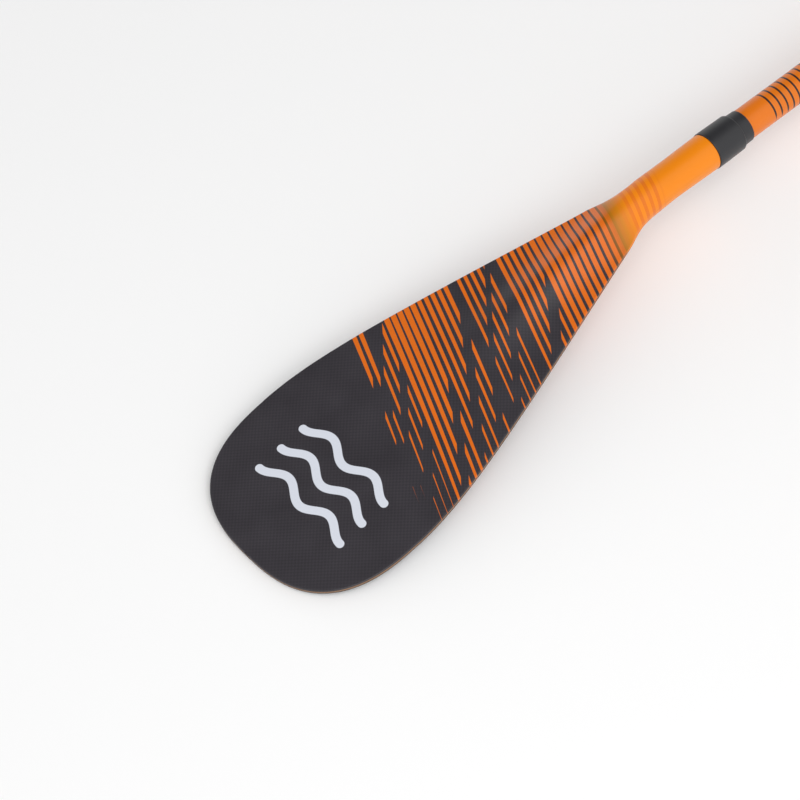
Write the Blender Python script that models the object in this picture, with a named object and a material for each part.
"""Adjustable three-section stand-up paddle: cranked blade, middle tube, sliding handle.

Metres, +Z up. The paddle is laid out straight along Y, with the step of the neck collar
at y = 0, the blade towards -Y and the grip towards +Y, and its front face up (+Z). The
blade is then bent round the crank, and the whole paddle is tilted so that it lies on the
blade's tip and the grip.
"""
import math

import bmesh
import bpy
from mathutils import Vector

# Clearances
GAP = 0.0003            # between pieces that touch, are bonded or screwed together
CORE_GAP = 0.0005       # adhesive film round the foam core and the neck's spigot
SOCKET_PLAY = 0.0003    # radial play of the middle tube in the neck and its collar
SLIDE_PLAY = 0.0005     # radial play of the handle tube in the middle tube
BUTTON_HOLE_PLAY = 0.0004
FORK_PLAY = 0.0011      # beside the bolt in the lever's fork
WASHER_CLEARANCE = 0.0004  # between the cam's washer and the clamp's ring
CUT_PAST = 0.002        # how far a drill or saw runs past what it cuts

# Middle tube; the other tubes fit over it and inside it
MIDDLE_RADIUS = 0.0145
MIDDLE_WALL = 0.0015
MIDDLE_TOP = 0.752      # from the collar's step to its upper rim
MIDDLE_BUNG_PLACE = 0.012
MIDDLE_BUNG_LENGTH = 0.020
MIDDLE_BORE = MIDDLE_RADIUS - MIDDLE_WALL

# Neck tube and its socket; distances run from the collar's step towards the blade's tip
SOCKET_RADIUS = MIDDLE_RADIUS + SOCKET_PLAY
SOCKET_DEPTH = 0.0780   # down to the middle tube's lower end
NECK_RIM = 0.0043       # down to the neck tube's rim
NECK_RIM_WALL = 0.00165
NECK_TOP_RADIUS = SOCKET_RADIUS + 0.00245
NECK_WAIST_RADIUS = SOCKET_RADIUS + 0.0018
NECK_END_RADIUS = SOCKET_RADIUS + 0.0021
NECK_BUNG_LENGTH = 0.016
NECK_BUNG_DROP = 0.006  # of the bung below the socket's floor
SPIGOT_LENGTH = 0.045   # of the neck tube's tongue inside the blade
SPIGOT_TAPER = 0.0012
SPIGOT_WALL = 0.0022

# Crank: the bend that carries the blade forward of the shaft's line
CRANK_START = SOCKET_DEPTH + 0.002
CRANK_LENGTH = 0.060
CRANK_ANGLE = math.radians(11.0)
CRANK_RADIUS = CRANK_LENGTH / CRANK_ANGLE

# Blade
BLADE_TIP = 0.568       # distance to the tip, along the bent centre line
BLADE_WIDTH = 0.198
TIP_LENGTH = 0.105      # rounded end, from the widest place to the tip
TIP_SQUARENESS = 2.6    # exponent of the rounded end: 2 is an ellipse, more is squarer
SHOULDER_LENGTH = 0.082  # how gently each side turns from its slope to the widest place
FAIRING_START = CRANK_START + 0.025  # where the blade's skins begin on the neck
FLARE_LENGTH = 0.055    # over which the round neck becomes the flat blade
FLARE_BLEND = 0.003
SIDE_BLEND = 0.020      # over which the blade's sides leave the neck's
SIDE_AIM = 0.0134       # half width that the sides point to at the fairing's start
SKIN_THICKNESS = 0.0012
EDGE_THICKNESS = 0.0048  # of the whole blade at its rim
CORE_THICKNESS = 0.0092  # of the whole blade beside its spine
TIP_CROWN = 0.001       # how much thicker than its rim the blade is at the tip
SPINE_FADE = 0.270      # from the spigot's end to where the raised spine has faded out
SPINE_WIDTH = NECK_END_RADIUS  # half width of the spine's bell shape at the neck
SPINE_WIDTH_END = 0.030
SPINE_CROWDING = 1.6    # how much closer together the blade's columns are at the spine
EDGE_STRIP_WIDTH = 0.006
WIDEST_AT = BLADE_TIP - TIP_LENGTH
SPIGOT_START_RADIUS = NECK_END_RADIUS - SKIN_THICKNESS - CORE_GAP
SPIGOT_END_RADIUS = SPIGOT_START_RADIUS - SPIGOT_TAPER
SPIGOT_END = FAIRING_START + SPIGOT_LENGTH
NECK_BORE_RADIUS = SPIGOT_END_RADIUS - SPIGOT_WALL
EDGE_STRIP_START = SPIGOT_END + 0.002
SIDE_SLOPE = (BLADE_WIDTH / 2 - SIDE_AIM) / (
    math.hypot(WIDEST_AT - FAIRING_START, SHOULDER_LENGTH) - SHOULDER_LENGTH)

# Collar
COLLAR_WALL = 0.0011
COLLAR_RADIUS = SOCKET_RADIUS + NECK_RIM_WALL + GAP + COLLAR_WALL
COLLAR_STEP_RADIUS = COLLAR_RADIUS - 0.00045
COLLAR_LENGTH = 0.0315  # from its lower rim up to the step
COLLAR_ROUND = 0.0012
COLLAR_LIP_RADIUS = SOCKET_RADIUS + 0.00085
COLLAR_LIP_LENGTH = 0.011
COLLAR_LIP_EDGE = 0.0003  # wall of the lip just under its upper edge
SEAL_THICKNESS = 0.0022

# Snap button, on the underside
BUTTON_FROM_END = 0.028  # from the middle tube's lower end to the button's axis
BUTTON_PLACE = SOCKET_DEPTH - BUTTON_FROM_END
BUTTON_RADIUS = 0.0035
BUTTON_STICKS_OUT = 0.0024
BUTTON_DOME = 0.0016    # height of its rounded end
BUTTON_TIP_RADIUS = 0.0007
BUTTON_FLANGE_RADIUS = 0.0046
BUTTON_FLANGE_THICKNESS = 0.0011
SPRING_THICKNESS = 0.0007
SPRING_WIDTH = 0.0085
SPRING_LENGTH = 0.034
SPRING_FLAT = 0.0101    # length of the leg's flat end behind the button
SPRING_BEND = 0.0042    # outer radius of its bend

# Handle tube
HANDLE_RADIUS = MIDDLE_BORE - SLIDE_PLAY
HANDLE_WALL = 0.0014
HANDLE_LENGTH = 0.840
HANDLE_TRAVEL = 0.450
HANDLE_HELD = 0.122     # length that stays in the middle tube when fully drawn out
GROOVE_WIDTH = 0.0030   # groove that keeps the handle from turning
GROOVE_DEPTH = 0.0007
GROOVE_TAPER = 0.8      # the groove's floor is this much of its width
END_PLUG_RADIUS = MIDDLE_BORE - GAP
END_PLUG_HEAD = 0.012
END_PLUG_SHANK = 0.022
END_PLUG_CHAMFER = 0.001
HANDLE_BORE = HANDLE_RADIUS - HANDLE_WALL
HANDLE_BOTTOM = MIDDLE_TOP - HANDLE_TRAVEL - HANDLE_HELD
HANDLE_TOP = HANDLE_BOTTOM + HANDLE_LENGTH
STEM_RADIUS = HANDLE_BORE - GROOVE_DEPTH - GAP

# Lever clamp at the top of the middle tube
WIPER_THICKNESS = 0.0045
CLAMP_LENGTH = 0.040
CLAMP_WALL = 0.0034
CLAMP_LIP = 0.0007      # of the clamp past the wiper ring
CLAMP_SLIT = 0.0030
CLAMP_BORE = MIDDLE_RADIUS + GAP
CLAMP_RADIUS = CLAMP_BORE + CLAMP_WALL
CLAMP_TOP = MIDDLE_TOP + GAP + WIPER_THICKNESS + CLAMP_LIP
CLAMP_MIDDLE = CLAMP_TOP - CLAMP_LENGTH / 2
TUBE_SLIT_LENGTH = 0.034  # of the slit in the middle tube under the clamp
BOLT_RADIUS = 0.0020
BOLT_HEAD_RADIUS = 0.0042
BOLT_HEAD_HEIGHT = 0.0036
BOLT_HEAD_CHAMFER = 0.0006
WASHER_RADIUS = 0.0050
WASHER_THICKNESS = 0.0012
BOLT_PLACE = CLAMP_RADIUS + WASHER_RADIUS + WASHER_CLEARANCE  # from the shaft's axis
EAR_REACH = BOLT_PLACE + WASHER_RADIUS + 0.0012
EAR_THICKNESS = 0.0036
EAR_TOP = CLAMP_SLIT / 2 + EAR_THICKNESS
PIN_RADIUS = 0.0034
PIN_INSET = 0.001       # of the pin's ends inside the lever's sides
CAM_RADIUS = PIN_RADIUS + GAP + 0.0023
PIN_HEIGHT = EAR_TOP + GAP + WASHER_THICKNESS + GAP + CAM_RADIUS
LEVER_WIDTH = 0.026
LEVER_THICKNESS = 0.0034
LEVER_END_ANGLE = math.radians(172.0)
LEVER_TIP_TAPER = math.radians(3.4)
LEVER_TIP_DROP = 0.00033  # of the tip's corner towards the shaft
LEVER_INNER_START = math.radians(16.0)  # past the pin, where the lever meets the ring
LEVER_OUTER_START = math.radians(34.0)
CAM_START = math.radians(-165.0)
CAM_END = math.radians(80.0)
FORK_SLOT = 2 * (BOLT_RADIUS + FORK_PLAY)

# Grip
GRIP_WIDTH = 0.106
GRIP_HEIGHT = 0.032     # of the bar, along the shaft
GRIP_THICKNESS = 0.030  # of the bar, before its faces are flattened
GRIP_FLATTENING = 0.0015  # taken off its front and off its back
GRIP_FLAT = GRIP_THICKNESS - 2 * GRIP_FLATTENING
GRIP_BAR_PLACE = 0.050  # from the handle tube's top to the bar's centre line
GRIP_SQUARENESS = 3.2
GRIP_END_CUT = 0.0004   # cut off each end of the bar
GRIP_END_HALF = 0.0005  # half height of the bar's flat ends
GRIP_COVER = 0.0024     # thickness of the soft cover
GRIP_COVER_REACH = math.radians(112.0)
GRIP_FERRULE_RADIUS = HANDLE_RADIUS + GAP + 0.0018
GRIP_FERRULE_DEPTH = 0.024
GRIP_FERRULE_CHAMFER = 0.0007
GRIP_WAIST_RADIUS = HANDLE_RADIUS - 0.0007
GRIP_WAIST_START = 0.010  # past the handle tube's top
GRIP_WAIST_STOP = 0.006  # short of the bar's centre line
GRIP_STEM_LENGTH = 0.036
RIVET_PLACE = HANDLE_TOP - GRIP_FERRULE_DEPTH / 2
RIVET_RADIUS = 0.0018
RIVET_DEPTH = 0.0189    # from the rivet's head to its other end
RIVET_HEAD_RADIUS = 0.0034
RIVET_HEAD_HEIGHT = 0.0010

# Steps of the curved shapes
ROUND = 32              # sides of a tube
SMALL_ROUND = 20        # sides of a bolt, a rivet or their holes
PIN_ROUND = 24          # sides of the pin, the button and their holes
BAR_STEPS = 18          # sections of the grip's bar
COVER_STEPS = 18        # round the covered part of a section
BLADE_ROWS = 24         # of the blade, up to its widest place
TIP_ROWS = 12           # round its tip
BLADE_COLUMNS = 20


# --- shapes -------------------------------------------------------------------

TINY = 1e-9
MERGE = 1e-7            # points closer than this are one


def smooth_step(t):
    t = min(max(t, 0.0), 1.0)
    return t * t * (3.0 - 2.0 * t)


def mix(a, b, t):
    return a + (b - a) * t


def smooth_max(a, b, blend):
    return 0.5 * (a + b + math.hypot(a - b, blend))


def crank(point):
    """Carry a point of the straight layout round the crank."""
    x, y, z = point
    past = -y - CRANK_START
    if past <= 0.0:
        return Vector((x, y, z))
    angle = min(past / CRANK_RADIUS, CRANK_ANGLE)
    run = past - CRANK_RADIUS * angle
    along = CRANK_START + CRANK_RADIUS * math.sin(angle) + run * math.cos(angle)
    drop = CRANK_RADIUS * (1.0 - math.cos(angle)) + run * math.sin(angle)
    return Vector((x, -along - z * math.sin(angle), -drop + z * math.cos(angle)))


def half_width(distance, inset=0.0):
    """Half the blade's width at a distance from the collar's step, inset from its rim."""
    widest = BLADE_WIDTH / 2 - inset
    if distance >= WIDEST_AT:
        t = min((distance - WIDEST_AT) / (TIP_LENGTH - inset), 1.0)
        left = 1.0 - t ** TIP_SQUARENESS
        if left < TINY:
            return 0.0
        return widest * left ** (1.0 / TIP_SQUARENESS)
    back = WIDEST_AT - distance
    side = widest - SIDE_SLOPE * (math.hypot(back, SHOULDER_LENGTH) - SHOULDER_LENGTH)
    flared = smooth_max(side, NECK_END_RADIUS - inset, FLARE_BLEND)
    left_neck = smooth_step((distance - FAIRING_START) / SIDE_BLEND)
    return mix(NECK_END_RADIUS - inset, flared, left_neck)


def bladeness(distance):
    """0 where the neck is round, 1 where the blade is flat."""
    return smooth_step((distance - FAIRING_START) / FLARE_LENGTH)


def column_place(distance, u, width):
    """Distance from the centre line of column u (-1 to 1), closer together at the spine."""
    round_place = width * math.sin(u * math.pi / 2)
    flat_place = width * math.copysign(abs(u) ** SPINE_CROWDING, u)
    return mix(round_place, flat_place, bladeness(distance))


def face_height(distance, x):
    """Height of the blade's face above its middle plane."""
    width = half_width(distance)
    share = min(abs(x) / width, 1.0) if width > 0 else 1.0
    round_height = NECK_END_RADIUS * math.sqrt(1.0 - share * share)
    faded = smooth_step((distance - SPIGOT_END) / SPINE_FADE)
    crown = mix(NECK_END_RADIUS, CORE_THICKNESS / 2, faded)
    spread = mix(SPINE_WIDTH, SPINE_WIDTH_END, faded)
    thinning = smooth_step((distance - WIDEST_AT) / TIP_LENGTH)
    core = mix(CORE_THICKNESS, EDGE_THICKNESS + TIP_CROWN, thinning) / 2
    edge = EDGE_THICKNESS / 2
    wing = edge + (core - edge) * (1.0 - share ** 2)
    bell = math.exp(-(x / spread) ** 2) * (1.0 - share ** 6)
    flat_height = wing + max(crown - CORE_THICKNESS / 2, 0.0) * bell
    return GAP / 2 + mix(round_height, flat_height, bladeness(distance))


def inner_height(distance, x):
    """Height of the inside of a blade skin above the middle plane."""
    width = half_width(distance)
    share = min(abs(x) / width, 1.0) if width > 0 else 1.0
    upright = mix(math.sqrt(1.0 - share * share), 1.0, bladeness(distance))
    return face_height(distance, x) - SKIN_THICKNESS * upright


def blade_rows():
    """Distances of the blade's cross rows, closer together round the tip."""
    rows = [mix(FAIRING_START, WIDEST_AT, i / BLADE_ROWS) for i in range(BLADE_ROWS)]
    for i in range(TIP_ROWS + 1):
        t = math.sin(i / TIP_ROWS * math.pi / 2) ** (2.0 / TIP_SQUARENESS)
        rows.append(mix(WIDEST_AT, BLADE_TIP, t))
    return rows


def blade_columns(distance):
    """Distances of the blade's columns from its centre line in one row."""
    width = half_width(distance)
    shares = [2 * i / BLADE_COLUMNS - 1.0 for i in range(BLADE_COLUMNS + 1)]
    return [column_place(distance, share, width) for share in shares]


# --- mesh and object helpers -----------------------------------------------------

def make_material(name, color, roughness, metallic=0.0):
    material = bpy.data.materials.new(name)
    material.use_nodes = True
    shader = material.node_tree.nodes["Principled BSDF"]
    shader.inputs["Base Color"].default_value = (*color, 1.0)
    shader.inputs["Roughness"].default_value = roughness
    shader.inputs["Metallic"].default_value = metallic
    return material


def add_piece(name, points, faces, material, parent, place=(0.0, 0.0, 0.0)):
    """A closed body as an object, its points given in its parent's space."""
    mesh = bpy.data.meshes.new(name)
    body = bmesh.new()
    corners = [body.verts.new(Vector(p) - Vector(place)) for p in points]
    for face in faces:
        if len(set(face)) >= 3:
            body.faces.new([corners[i] for i in face])
    bmesh.ops.remove_doubles(body, verts=body.verts, dist=MERGE)
    bmesh.ops.dissolve_degenerate(body, edges=body.edges, dist=MERGE)
    bmesh.ops.recalc_face_normals(body, faces=body.faces)
    if body.calc_volume(signed=True) < 0:
        bmesh.ops.reverse_faces(body, faces=body.faces)
    body.to_mesh(mesh)
    body.free()
    mesh.shade_smooth()
    mesh.set_sharp_from_angle(angle=math.radians(35.0))
    mesh.materials.append(material)
    piece = bpy.data.objects.new(name, mesh)
    bpy.context.collection.objects.link(piece)
    piece.parent = parent
    piece.location = place
    return piece


def loft(rings, wrap=False):
    """Points and faces through rings of equal length; wrap joins the last to the first."""
    count = len(rings[0])
    points = [p for ring in rings for p in ring]
    faces = []
    steps = len(rings) if wrap else len(rings) - 1
    for i in range(steps):
        a = i * count
        b = (i + 1) % len(rings) * count
        for j in range(count):
            k = (j + 1) % count
            faces.append((a + j, a + k, b + k, b + j))
    if not wrap:
        faces.append(tuple(reversed(range(count))))
        faces.append(tuple(range((len(rings) - 1) * count, len(rings) * count)))
    return points, faces


def ring(radius, y, sides=ROUND):
    angles = [2 * math.pi * i / sides for i in range(sides)]
    return [Vector((radius * math.cos(a), y, radius * math.sin(a))) for a in angles]


def turned(profile, sides=ROUND, bent=False, wrap=True):
    """Turn (radius, y) points round the shaft's axis; wrap closes a hollow piece."""
    points, faces = loft([ring(r, y, sides) for r, y in profile], wrap)
    if bent:
        points = [crank(p) for p in points]
    return points, faces


def rod(radius, low, high, sides):
    """Plain round bar along Y."""
    return turned([(radius, low), (radius, high)], sides, wrap=False)


def across(points, place):
    """Lay a piece turned about Y so that its axis points down (-Z) at y = place."""
    return [Vector((p[0], p[2] + place, -p[1])) for p in points]


def prism(outline, y_low, y_high):
    """Extrude an (x, z) outline along the shaft."""
    low = [Vector((x, y_low, z)) for x, z in outline]
    high = [Vector((x, y_high, z)) for x, z in outline]
    return loft([low, high])


def arc(centre, radius, start, end, steps):
    """Points on an arc in the plane of an outline, both ends included."""
    angles = [mix(start, end, i / steps) for i in range(steps + 1)]
    return [(centre[0] + radius * math.cos(a), centre[1] + radius * math.sin(a)) for a in angles]


def add_cutter(name, points, faces, parent):
    cutter = add_piece(name, points, faces, cutter_material, parent)
    cutter.hide_render = True
    cutter.display_type = "WIRE"
    return cutter


def combine(piece, other, operation="DIFFERENCE"):
    modifier = piece.modifiers.new(other.name, "BOOLEAN")
    modifier.operation = operation
    modifier.solver = "EXACT"
    modifier.object = other


def add_empty(name, parent=None, place=(0.0, 0.0, 0.0)):
    empty = bpy.data.objects.new(name, None)
    bpy.context.collection.objects.link(empty)
    empty.empty_display_size = 0.03
    empty.parent = parent
    empty.location = place
    return empty


# --- blade ------------------------------------------------------------------------

def blade_skin(name, side, material, parent):
    """One of the two skins: side is 1 for the front (up) and -1 for the back."""
    rows = blade_rows()
    points = []
    for surface in ("outer", "inner"):
        for distance in rows:
            flat = bladeness(distance)
            for x in blade_columns(distance):
                height = face_height(distance, x)
                if surface == "inner":
                    height = inner_height(distance, x)
                    x = mix(x * (1.0 - SKIN_THICKNESS / NECK_END_RADIUS), x, flat)
                points.append(crank((x, -distance, side * height)))
    across_count = BLADE_COLUMNS + 1
    layer = len(rows) * across_count
    faces = []
    for i in range(len(rows) - 1):
        for j in range(across_count - 1):
            a = i * across_count + j
            quad = (a, a + 1, a + across_count + 1, a + across_count)
            faces.append(quad)
            faces.append(tuple(reversed([v + layer for v in quad])))
    rim = list(range(across_count))
    rim += [i * across_count + across_count - 1 for i in range(1, len(rows))]
    rim += [(len(rows) - 1) * across_count + j for j in reversed(range(across_count - 1))]
    rim += [i * across_count for i in reversed(range(1, len(rows) - 1))]
    for a, b in zip(rim, rim[1:] + rim[:1]):
        faces.append((a, a + layer, b + layer, b))
    return add_piece(name, points, faces, material, parent)


def blade_core(material, parent):
    """Foam core between the skins, inside the edge strip and beyond the neck's spigot."""
    inset = EDGE_STRIP_WIDTH + CORE_GAP
    start, end = SPIGOT_END + CORE_GAP, BLADE_TIP - inset
    rings = []
    for distance in [start] + [d for d in blade_rows() if start < d < end]:
        width = half_width(distance, inset)
        places = [min(max(x, -width), width) for x in blade_columns(distance)]
        heights = [inner_height(distance, x) - CORE_GAP for x in places]
        upper = [crank((x, -distance, h)) for x, h in zip(places, heights)]
        lower = [crank((x, -distance, -h)) for x, h in zip(places, heights)]
        rings.append(upper + lower[::-1])
    points, faces = loft(rings)
    return add_piece("blade_core", points, faces, material, parent)


def blade_edge_strip(material, parent):
    """Strip round the rim between the skins, from one side of the neck to the other."""
    rows = [EDGE_STRIP_START] + [d for d in blade_rows() if d > EDGE_STRIP_START]
    right = [Vector((half_width(d), -d)) for d in rows]
    path = right + [Vector((-p.x, p.y)) for p in reversed(right[:-1])]
    half = EDGE_THICKNESS / 2 - SKIN_THICKNESS - GAP / 2
    rings = []
    for i, p in enumerate(path):
        before, after = path[max(i - 1, 0)], path[min(i + 1, len(path) - 1)]
        run = (after - before).normalized()
        inward = p + Vector((run.y, -run.x)) * EDGE_STRIP_WIDTH
        corners = [(p, -half), (p, half), (inward, half), (inward, -half)]
        rings.append([crank((q.x, q.y, h)) for q, h in corners])
    points, faces = loft(rings)
    return add_piece("blade_edge_strip", points, faces, material, parent)


# --- neck -------------------------------------------------------------------------

def neck_tube(material, parent):
    """Tube with the middle tube's socket in its top and a spigot inside the blade."""
    under_collar = COLLAR_RADIUS - COLLAR_WALL - GAP
    shoulder = FAIRING_START - GAP
    bend_steps = [mix(CRANK_START, shoulder, i / 3) for i in range(4)]
    spigot_steps = [mix(shoulder, SPIGOT_END, i / 4) for i in range(5)]
    profile = [(SOCKET_RADIUS, -NECK_RIM), (under_collar, -NECK_RIM)]
    profile += [(under_collar, -COLLAR_LENGTH - GAP), (NECK_TOP_RADIUS, -COLLAR_LENGTH - GAP)]
    for d in bend_steps:
        t = (d - CRANK_START) / (shoulder - CRANK_START)
        profile.append((mix(NECK_WAIST_RADIUS, NECK_END_RADIUS, t), -d))
    for d in spigot_steps:
        t = (d - shoulder) / (SPIGOT_END - shoulder)
        profile.append((mix(SPIGOT_START_RADIUS, SPIGOT_END_RADIUS, t), -d))
    profile += [(NECK_BORE_RADIUS, -d) for d in reversed(spigot_steps)]
    profile += [(NECK_BORE_RADIUS, -d) for d in reversed(bend_steps[1:-1])]
    floor = SOCKET_DEPTH + GAP
    profile += [(NECK_BORE_RADIUS, -floor), (SOCKET_RADIUS, -floor)]
    tube = add_piece("neck_tube", *turned(profile, bent=True), material, parent)
    combine(tube, button_drill)
    return tube


def neck_bung(material, parent):
    """Foam bung that keeps water out of the blade, below the socket."""
    radius = NECK_BORE_RADIUS - GAP
    top = SOCKET_DEPTH + NECK_BUNG_DROP
    steps = [top + NECK_BUNG_LENGTH * i / 3 for i in range(4)]
    points, faces = turned([(radius, -d) for d in steps], bent=True, wrap=False)
    return add_piece("neck_bung", points, faces, material, parent)


def neck_collar(material, parent):
    """Stepped cap over the neck's rim, with a lip that closes on the middle tube."""
    inside = COLLAR_RADIUS - COLLAR_WALL
    ceiling = -NECK_RIM + GAP + SEAL_THICKNESS + GAP
    turn = COLLAR_ROUND
    profile = [(inside, -COLLAR_LENGTH), (COLLAR_RADIUS - turn / 2, -COLLAR_LENGTH)]
    profile += [(COLLAR_RADIUS, -COLLAR_LENGTH + turn / 2)]
    profile += arc((COLLAR_STEP_RADIUS - turn, -turn), turn, 0, math.pi / 2, 4)
    profile += [(COLLAR_LIP_RADIUS + turn / 3, 0.0), (COLLAR_LIP_RADIUS, turn / 2)]
    profile += [(SOCKET_RADIUS + COLLAR_LIP_EDGE, COLLAR_LIP_LENGTH - turn / 3)]
    profile += [(SOCKET_RADIUS, COLLAR_LIP_LENGTH), (SOCKET_RADIUS, ceiling), (inside, ceiling)]
    return add_piece("neck_collar", *turned(profile), material, parent)


def collar_seal(material, parent):
    """Rubber ring between the neck's rim and the collar."""
    outer = COLLAR_RADIUS - COLLAR_WALL - GAP
    low = -NECK_RIM + GAP
    high = low + SEAL_THICKNESS
    profile = [(outer, low), (outer, high), (SOCKET_RADIUS, high), (SOCKET_RADIUS, low)]
    return add_piece("collar_seal", *turned(profile), material, parent)


# --- middle section ------------------------------------------------------------------

def middle_tube(material, parent):
    bottom = -SOCKET_DEPTH
    profile = [(MIDDLE_RADIUS, bottom), (MIDDLE_RADIUS, MIDDLE_TOP)]
    profile += [(MIDDLE_BORE, MIDDLE_TOP), (MIDDLE_BORE, bottom)]
    tube = add_piece("middle_tube", *turned(profile), material, parent)
    combine(tube, button_drill)
    half, reach = CLAMP_SLIT / 2, MIDDLE_RADIUS + CUT_PAST
    outline = [(0.0, -half), (reach, -half), (reach, half), (0.0, half)]
    slit = prism(outline, MIDDLE_TOP - TUBE_SLIT_LENGTH, MIDDLE_TOP + CUT_PAST)
    combine(tube, add_cutter("slit_saw", *slit, parent))
    return tube


def middle_bung(material, parent):
    """Foam bung that keeps the middle tube afloat, above the snap button."""
    radius = MIDDLE_BORE - GAP
    profile = [(radius, MIDDLE_BUNG_PLACE), (radius, MIDDLE_BUNG_PLACE + MIDDLE_BUNG_LENGTH)]
    return add_piece("middle_bung", *turned(profile, wrap=False), material, parent)


def button_flange_top():
    """Distance from the shaft's axis to the outer face of the button's flange."""
    return math.sqrt(MIDDLE_BORE ** 2 - BUTTON_FLANGE_RADIUS ** 2) - GAP


def snap_button(material, parent):
    """Domed button through the walls of the middle tube and the neck, pointing down."""
    top = button_flange_top()
    low = top - BUTTON_FLANGE_THICKNESS
    tip = NECK_TOP_RADIUS + BUTTON_STICKS_OUT
    profile = [(BUTTON_FLANGE_RADIUS, low), (BUTTON_FLANGE_RADIUS, top), (BUTTON_RADIUS, top)]
    for i in range(4):
        a = i / 4 * math.pi / 2
        profile.append((BUTTON_RADIUS * math.cos(a), tip - BUTTON_DOME * (1.0 - math.sin(a))))
    profile.append((BUTTON_TIP_RADIUS, tip))
    points, faces = turned(profile, PIN_ROUND, wrap=False)
    points = across(points, -BUTTON_PLACE)
    return add_piece("snap_button", points, faces, material, parent, (0.0, -BUTTON_PLACE, 0.0))


def snap_spring(material, parent):
    """V-shaped leaf: one leg presses the button out, the other leans on the tube's top."""
    thick = SPRING_THICKNESS
    leg_low = -(button_flange_top() - BUTTON_FLANGE_THICKNESS - GAP)
    leg_high = math.sqrt(MIDDLE_BORE ** 2 - (SPRING_WIDTH / 2) ** 2) - GAP
    end = -BUTTON_PLACE - BUTTON_FLANGE_RADIUS
    bend = end + SPRING_LENGTH
    flat = end + SPRING_FLAT
    outer, inner = SPRING_BEND, SPRING_BEND - thick
    middle = (bend, (leg_low + leg_high) / 2)
    outside = [(end, leg_low), (flat, leg_low)]
    outside += arc(middle, outer, -math.pi / 2, math.pi / 2, 8)
    outside += [(flat, leg_high), (end, leg_high)]
    inside = [(end, leg_high - thick), (flat, leg_high - thick)]
    inside += arc(middle, inner, math.pi / 2, -math.pi / 2, 8)
    inside += [(flat, leg_low + thick), (end, leg_low + thick)]
    half = SPRING_WIDTH / 2
    outline = outside + inside
    rings = [[Vector((x, y, z)) for y, z in outline] for x in (-half, half)]
    return add_piece("snap_spring", *loft(rings), material, parent)


# --- lever clamp ----------------------------------------------------------------------

def at_bolt(points, height=0.0):
    """Stand a piece turned about Y on the bolt's axis, across the shaft."""
    return [Vector((p.x + BOLT_PLACE, p.z + CLAMP_MIDDLE, p.y + height)) for p in points]


def clamp_body(material, parent):
    """Split collar with two ears, round the middle tube's rim."""
    slit = CLAMP_SLIT / 2
    root = math.asin(EAR_TOP / CLAMP_RADIUS)
    mouth = math.asin(slit / CLAMP_BORE)
    outline = [(EAR_REACH, slit), (EAR_REACH, EAR_TOP)]
    outline += arc((0, 0), CLAMP_RADIUS, root, 2 * math.pi - root, ROUND)
    outline += [(EAR_REACH, -EAR_TOP), (EAR_REACH, -slit)]
    outline += arc((0, 0), CLAMP_BORE, 2 * math.pi - mouth, mouth, ROUND)
    shape = prism(outline, CLAMP_TOP - CLAMP_LENGTH, CLAMP_TOP)
    body = add_piece("clamp_body", *shape, material, parent)
    points, faces = rod(BOLT_RADIUS + GAP, -EAR_TOP - CUT_PAST, EAR_TOP + CUT_PAST, SMALL_ROUND)
    combine(body, add_cutter("ear_drill", at_bolt(points), faces, parent))
    return body


def clamp_bolt(material, parent):
    """Bolt that draws the ears together, its end in the lever's pin."""
    head = -EAR_TOP - GAP
    tip = PIN_HEIGHT + PIN_RADIUS - GAP
    end = head - BOLT_HEAD_HEIGHT
    profile = [(BOLT_HEAD_RADIUS - BOLT_HEAD_CHAMFER, end)]
    profile += [(BOLT_HEAD_RADIUS, end + BOLT_HEAD_CHAMFER), (BOLT_HEAD_RADIUS, head)]
    profile += [(BOLT_RADIUS, head), (BOLT_RADIUS, tip)]
    points, faces = turned(profile, SMALL_ROUND, wrap=False)
    return add_piece("clamp_bolt", at_bolt(points), faces, material, parent)


def cam_washer(material, parent):
    """Washer that the lever's cam presses on."""
    low = EAR_TOP + GAP
    high = low + WASHER_THICKNESS
    hole = BOLT_RADIUS + GAP
    profile = [(WASHER_RADIUS, low), (WASHER_RADIUS, high), (hole, high), (hole, low)]
    points, faces = turned(profile, SMALL_ROUND)
    return add_piece("cam_washer", at_bolt(points), faces, material, parent)


def lever_pin(material, parent):
    """Barrel pin along the shaft, crossed by the bolt; the lever turns round it."""
    half = LEVER_WIDTH / 2 - PIN_INSET
    points, faces = rod(PIN_RADIUS, CLAMP_MIDDLE - half, CLAMP_MIDDLE + half, PIN_ROUND)
    points = [p + Vector((BOLT_PLACE, 0.0, PIN_HEIGHT)) for p in points]
    pin = add_piece("lever_pin", points, faces, material, parent)
    reach = PIN_RADIUS + CUT_PAST
    points, faces = rod(BOLT_RADIUS + GAP, -reach, reach, SMALL_ROUND)
    combine(pin, add_cutter("pin_drill", at_bolt(points, PIN_HEIGHT), faces, parent))
    return pin


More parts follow.
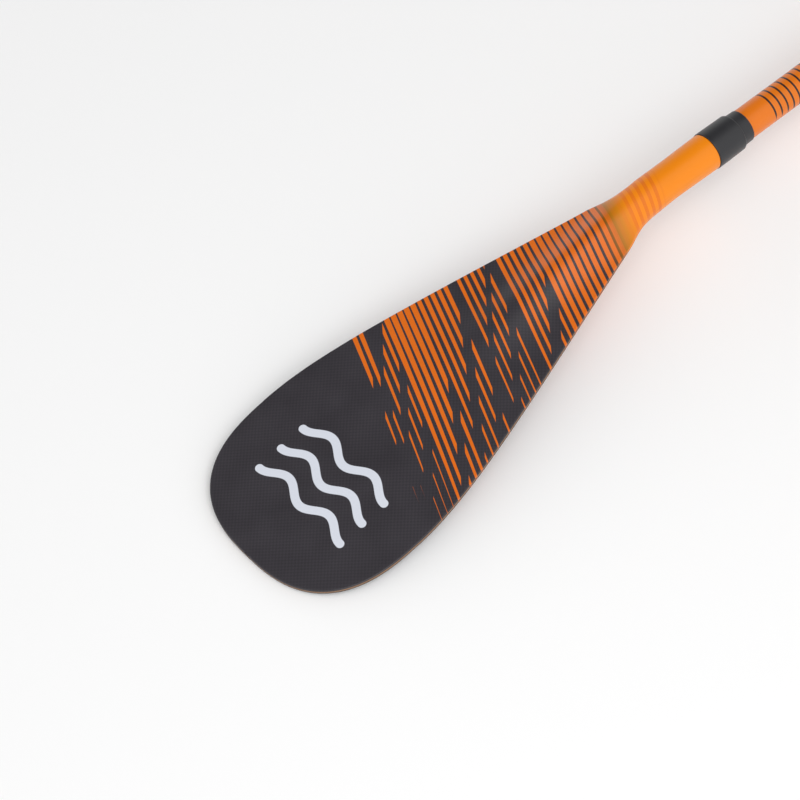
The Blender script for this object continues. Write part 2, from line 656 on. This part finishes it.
def clamp_lever(material, parent):
    """Cam lever that wraps the collar when shut; its origin is on the pin's axis."""
    pin = (BOLT_PLACE, PIN_HEIGHT)
    inner = CLAMP_RADIUS + GAP
    outer = inner + LEVER_THICKNESS
    pin_angle = math.atan2(PIN_HEIGHT, BOLT_PLACE)
    outer_start = pin_angle + LEVER_OUTER_START
    outline = arc(pin, CAM_RADIUS, CAM_START, CAM_END, 14)
    outline += arc((0, 0), outer, outer_start, LEVER_END_ANGLE - LEVER_TIP_TAPER, 14)
    corner = outer - LEVER_TIP_DROP
    outline.append((corner * math.cos(LEVER_END_ANGLE), corner * math.sin(LEVER_END_ANGLE)))
    outline += arc((0, 0), inner, LEVER_END_ANGLE, pin_angle + LEVER_INNER_START, 16)
    half = LEVER_WIDTH / 2
    place = (BOLT_PLACE, CLAMP_MIDDLE, PIN_HEIGHT)
    shape = prism(outline, CLAMP_MIDDLE - half, CLAMP_MIDDLE + half)
    lever = add_piece("clamp_lever", *shape, material, parent, place)
    points, faces = rod(PIN_RADIUS + GAP, -half - CUT_PAST, half + CUT_PAST, PIN_ROUND)
    points = [p + Vector(place) for p in points]
    combine(lever, add_cutter("pin_reamer", points, faces, parent))
    left = BOLT_PLACE - FORK_SLOT / 2
    reach = CAM_RADIUS + LEVER_THICKNESS
    slot = [(left, PIN_HEIGHT - reach), (BOLT_PLACE + reach, PIN_HEIGHT - reach)]
    slot += [(BOLT_PLACE + reach, PIN_HEIGHT + reach), (left, PIN_HEIGHT + reach)]
    saw = prism(slot, CLAMP_MIDDLE - FORK_SLOT / 2, CLAMP_MIDDLE + FORK_SLOT / 2)
    combine(lever, add_cutter("fork_saw", *saw, parent))
    return lever


def grooved_ring(radius, y, half_width_of_groove, depth):
    """Ring with a groove towards +Z."""
    half = half_width_of_groove / radius
    top = math.pi / 2
    angles = [2 * math.pi * i / ROUND for i in range(ROUND)]
    angles = [a for a in angles if abs(a - top) > half + GAP / radius]
    angles += [top - half, top + half]
    shallow = [(a, radius) for a in angles]
    floor = half * GROOVE_TAPER
    deep = [(top - floor, radius - depth), (top + floor, radius - depth)]
    points = sorted(shallow + deep)
    return [Vector((r * math.cos(a), y, r * math.sin(a))) for a, r in points]


def wiper_ring(material, parent):
    """Ring on the middle tube's rim; its key runs in the handle tube's groove."""
    low = MIDDLE_TOP + GAP
    high = low + WIPER_THICKNESS
    bore = HANDLE_RADIUS + GAP
    key = GROOVE_WIDTH / 2 - GAP
    inner = [grooved_ring(bore, y, key, GROOVE_DEPTH) for y in (high, low)]
    outer = []
    for y in (low, high):
        rim = [Vector((p.x, 0.0, p.z)).normalized() * MIDDLE_RADIUS for p in inner[0]]
        outer.append([p + Vector((0.0, y, 0.0)) for p in rim])
    return add_piece("wiper_ring", *loft(outer + inner, wrap=True), material, parent)


# --- handle section ------------------------------------------------------------------

def handle_tube(material, parent):
    """Tube with a groove along its front, which keeps the grip in line with the blade."""
    groove = GROOVE_WIDTH / 2
    inside = groove * HANDLE_BORE / HANDLE_RADIUS
    ends = (HANDLE_BOTTOM, HANDLE_TOP)
    rings = [grooved_ring(HANDLE_RADIUS, y, groove, GROOVE_DEPTH) for y in ends]
    rings += [grooved_ring(HANDLE_BORE, y, inside, GROOVE_DEPTH) for y in reversed(ends)]
    tube = add_piece("handle_tube", *loft(rings, wrap=True), material, parent)
    combine(tube, rivet_drill)
    return tube


def handle_end_plug(material, parent):
    """Plug in the handle tube's lower end, whose head guides it in the middle tube."""
    high = HANDLE_BOTTOM - GAP
    low = high - END_PLUG_HEAD
    profile = [(END_PLUG_RADIUS - END_PLUG_CHAMFER, low), (END_PLUG_RADIUS, low + END_PLUG_CHAMFER)]
    profile += [(END_PLUG_RADIUS, high), (STEM_RADIUS, high)]
    profile += [(STEM_RADIUS, HANDLE_BOTTOM + END_PLUG_SHANK)]
    return add_piece("handle_end_plug", *turned(profile, wrap=False), material, parent)


def bar_size(x):
    """How full the grip's bar is at x: 1 in the middle, 0 at its ends."""
    share = min(abs(x) / (GRIP_WIDTH / 2), 1.0)
    return (1.0 - share ** GRIP_SQUARENESS) ** (1.0 / GRIP_SQUARENESS)


def bar_ring(x, angles, inset):
    """Section of the grip's bar at x, flattened on its front and back."""
    full = bar_size(x)
    tall = max(GRIP_HEIGHT / 2 * full - inset, GRIP_END_HALF)
    thick = max(GRIP_THICKNESS / 2 * full - inset, GRIP_END_HALF)
    flat = GRIP_FLAT / 2 - inset
    centre = HANDLE_TOP + GRIP_BAR_PLACE
    points = []
    for a in angles:
        z = min(max(thick * math.sin(a), -flat), flat)
        points.append(Vector((x, centre + tall * math.cos(a), z)))
    return points


def bar_places(inset):
    """Places across the bar, closer together at its ends and stopping at an inset."""
    half = GRIP_WIDTH / 2 - GRIP_END_CUT
    places = [half * math.sin((i / BAR_STEPS - 0.5) * math.pi) for i in range(BAR_STEPS + 1)]
    limit = half - inset
    return [min(max(x, -limit), limit) for x in places]


def covered_angles():
    reach = GRIP_COVER_REACH
    return [mix(-reach, reach, i / COVER_STEPS) for i in range(COVER_STEPS + 1)]


def grip_body(material, parent):
    """Moulded T: a stem in the handle tube, a ferrule over it, a waist and the bar."""
    inset = GRIP_COVER + GAP
    bare = 2 * math.pi - 2 * GRIP_COVER_REACH
    angles = covered_angles() + [GRIP_COVER_REACH + bare * i / 6 for i in range(1, 6)]
    rings = [bar_ring(x, angles, inset) for x in bar_places(inset + GRIP_END_CUT)]
    bar = add_cutter("grip_bar", *loft(rings), parent)
    sleeve = HANDLE_RADIUS + GAP
    seat = HANDLE_TOP + GAP
    rim = HANDLE_TOP - GRIP_FERRULE_DEPTH
    profile = [(STEM_RADIUS, HANDLE_TOP - GRIP_STEM_LENGTH), (STEM_RADIUS, seat), (sleeve, seat)]
    profile += [(sleeve, rim), (GRIP_FERRULE_RADIUS - GRIP_FERRULE_CHAMFER, rim)]
    profile += [(GRIP_FERRULE_RADIUS, rim + GRIP_FERRULE_CHAMFER), (GRIP_FERRULE_RADIUS, HANDLE_TOP)]
    waist = HANDLE_TOP + GRIP_WAIST_START
    hub = HANDLE_TOP + GRIP_BAR_PLACE - GRIP_WAIST_STOP
    hub_radius = GRIP_FLAT / 2 - inset - GRIP_END_CUT
    for i in range(5):
        t = i / 4
        profile.append((mix(GRIP_WAIST_RADIUS, hub_radius, t * t), mix(waist, hub, t)))
    body = add_piece("grip_body", *turned(profile, wrap=False), material, parent)
    combine(body, bar, "UNION")
    combine(body, rivet_drill)
    return body


def grip_cover(material, parent):
    """Soft cover over the palm side and the faces of the bar."""
    angles = covered_angles()
    rings = []
    for x, held in zip(bar_places(0.0), bar_places(GRIP_COVER + GRIP_END_CUT)):
        outer = bar_ring(x, angles, 0.0)
        inner = bar_ring(held, angles, GRIP_COVER)
        rings.append(outer + inner[::-1])
    return add_piece("grip_cover", *loft(rings), material, parent)


def grip_rivet(material, parent):
    """Rivet through the ferrule, the handle tube and the stem."""
    face = GRIP_FERRULE_RADIUS + GAP
    profile = [(RIVET_RADIUS, face - RIVET_DEPTH), (RIVET_RADIUS, face), (RIVET_HEAD_RADIUS, face)]
    profile += [(RIVET_HEAD_RADIUS, face + RIVET_HEAD_HEIGHT * 0.4)]
    profile += [(RIVET_HEAD_RADIUS * 0.6, face + RIVET_HEAD_HEIGHT)]
    points, faces = turned(profile, SMALL_ROUND, wrap=False)
    return add_piece("grip_rivet", across(points, RIVET_PLACE), faces, material, parent)


def rest_tilt():
    """Angle that lays both the blade's tip and the grip's back on the ground."""
    tip = crank((0.0, -BLADE_TIP, -EDGE_THICKNESS / 2 - GAP / 2))
    share = GRIP_FLAT / GRIP_THICKNESS
    flat_edge = GRIP_HEIGHT / 2 * math.sqrt(1.0 - share * share)
    grip = Vector((0.0, HANDLE_TOP + GRIP_BAR_PLACE + flat_edge, -GRIP_FLAT / 2))
    return math.atan2(grip.z - tip.z, grip.y - tip.y)


def stand_on_origin(paddle):
    """Move the paddle so that the origin is under the middle of its box."""
    bpy.context.view_layer.update()
    graph = bpy.context.evaluated_depsgraph_get()
    corners = []
    for piece in bpy.data.objects:
        if piece.type == "MESH" and not piece.hide_render:
            shape = piece.evaluated_get(graph)
            corners += [shape.matrix_world @ v.co for v in shape.data.vertices]
    low = Vector([min(c[i] for c in corners) for i in range(3)])
    high = Vector([max(c[i] for c in corners) for i in range(3)])
    paddle.location -= Vector(((low.x + high.x) / 2, (low.y + high.y) / 2, low.z))
    bpy.context.view_layer.update()


# --- assembly -----------------------------------------------------------------------

for old in list(bpy.data.objects):
    bpy.data.objects.remove(old, do_unlink=True)

cutter_material = make_material("cutter", (0.8, 0.1, 0.1), 0.5)
orange_lacquer = make_material("orange_lacquer", (0.90, 0.27, 0.01), 0.25)
shaft_orange = make_material("shaft_orange", (0.75, 0.18, 0.005), 0.32)
handle_lacquer = make_material("handle_lacquer", (0.030, 0.030, 0.033), 0.35)
carbon_front = make_material("carbon_front", (0.035, 0.033, 0.038), 0.35)
carbon_back = make_material("carbon_back", (0.030, 0.029, 0.033), 0.38)
edge_resin = make_material("edge_resin", (0.30, 0.20, 0.13), 0.5)
white_foam = make_material("white_foam", (0.80, 0.79, 0.75), 0.9)
black_rubber = make_material("black_rubber", (0.035, 0.035, 0.037), 0.75)
black_nylon = make_material("black_nylon", (0.025, 0.025, 0.027), 0.5)
grey_nylon = make_material("grey_nylon", (0.35, 0.36, 0.37), 0.45)
steel = make_material("steel", (0.62, 0.62, 0.63), 0.25, 1.0)
spring_steel = make_material("spring_steel", (0.45, 0.45, 0.46), 0.35, 1.0)
grip_rubber = make_material("grip_rubber", (0.05, 0.05, 0.052), 0.85)

paddle = add_empty("paddle")
blade_section = add_empty("blade_section", paddle)
middle_section = add_empty("middle_section", paddle)
handle_section = add_empty("handle_section", paddle)

points, faces = rod(BUTTON_RADIUS + BUTTON_HOLE_PLAY, MIDDLE_BORE / 2, NECK_TOP_RADIUS + CUT_PAST,
                    PIN_ROUND)
button_drill = add_cutter("button_drill", across(points, -BUTTON_PLACE), faces, paddle)
rivet_hole_floor = GRIP_FERRULE_RADIUS - RIVET_DEPTH - GAP
points, faces = rod(RIVET_RADIUS + GAP, rivet_hole_floor, GRIP_FERRULE_RADIUS + CUT_PAST, SMALL_ROUND)
rivet_drill = add_cutter("rivet_drill", across(points, RIVET_PLACE), faces, handle_section)

blade_skin("blade_front_skin", 1, carbon_front, blade_section)
blade_skin("blade_back_skin", -1, carbon_back, blade_section)
blade_core(white_foam, blade_section)
blade_edge_strip(edge_resin, blade_section)
neck_tube(orange_lacquer, blade_section)
neck_bung(white_foam, blade_section)
neck_collar(black_rubber, blade_section)
collar_seal(black_rubber, blade_section)

middle_tube(shaft_orange, middle_section)
middle_bung(white_foam, middle_section)
snap_button(steel, middle_section)
snap_spring(spring_steel, middle_section)
clamp_body(black_nylon, middle_section)
clamp_bolt(steel, middle_section)
cam_washer(steel, middle_section)
lever_pin(steel, middle_section)
clamp_lever(black_nylon, middle_section)
wiper_ring(grey_nylon, middle_section)

handle_tube(handle_lacquer, handle_section)
handle_end_plug(grey_nylon, handle_section)
grip_body(black_nylon, handle_section)
grip_cover(grip_rubber, handle_section)
grip_rivet(steel, handle_section)

paddle.rotation_euler = (-rest_tilt(), 0.0, 0.0)
stand_on_origin(paddle)
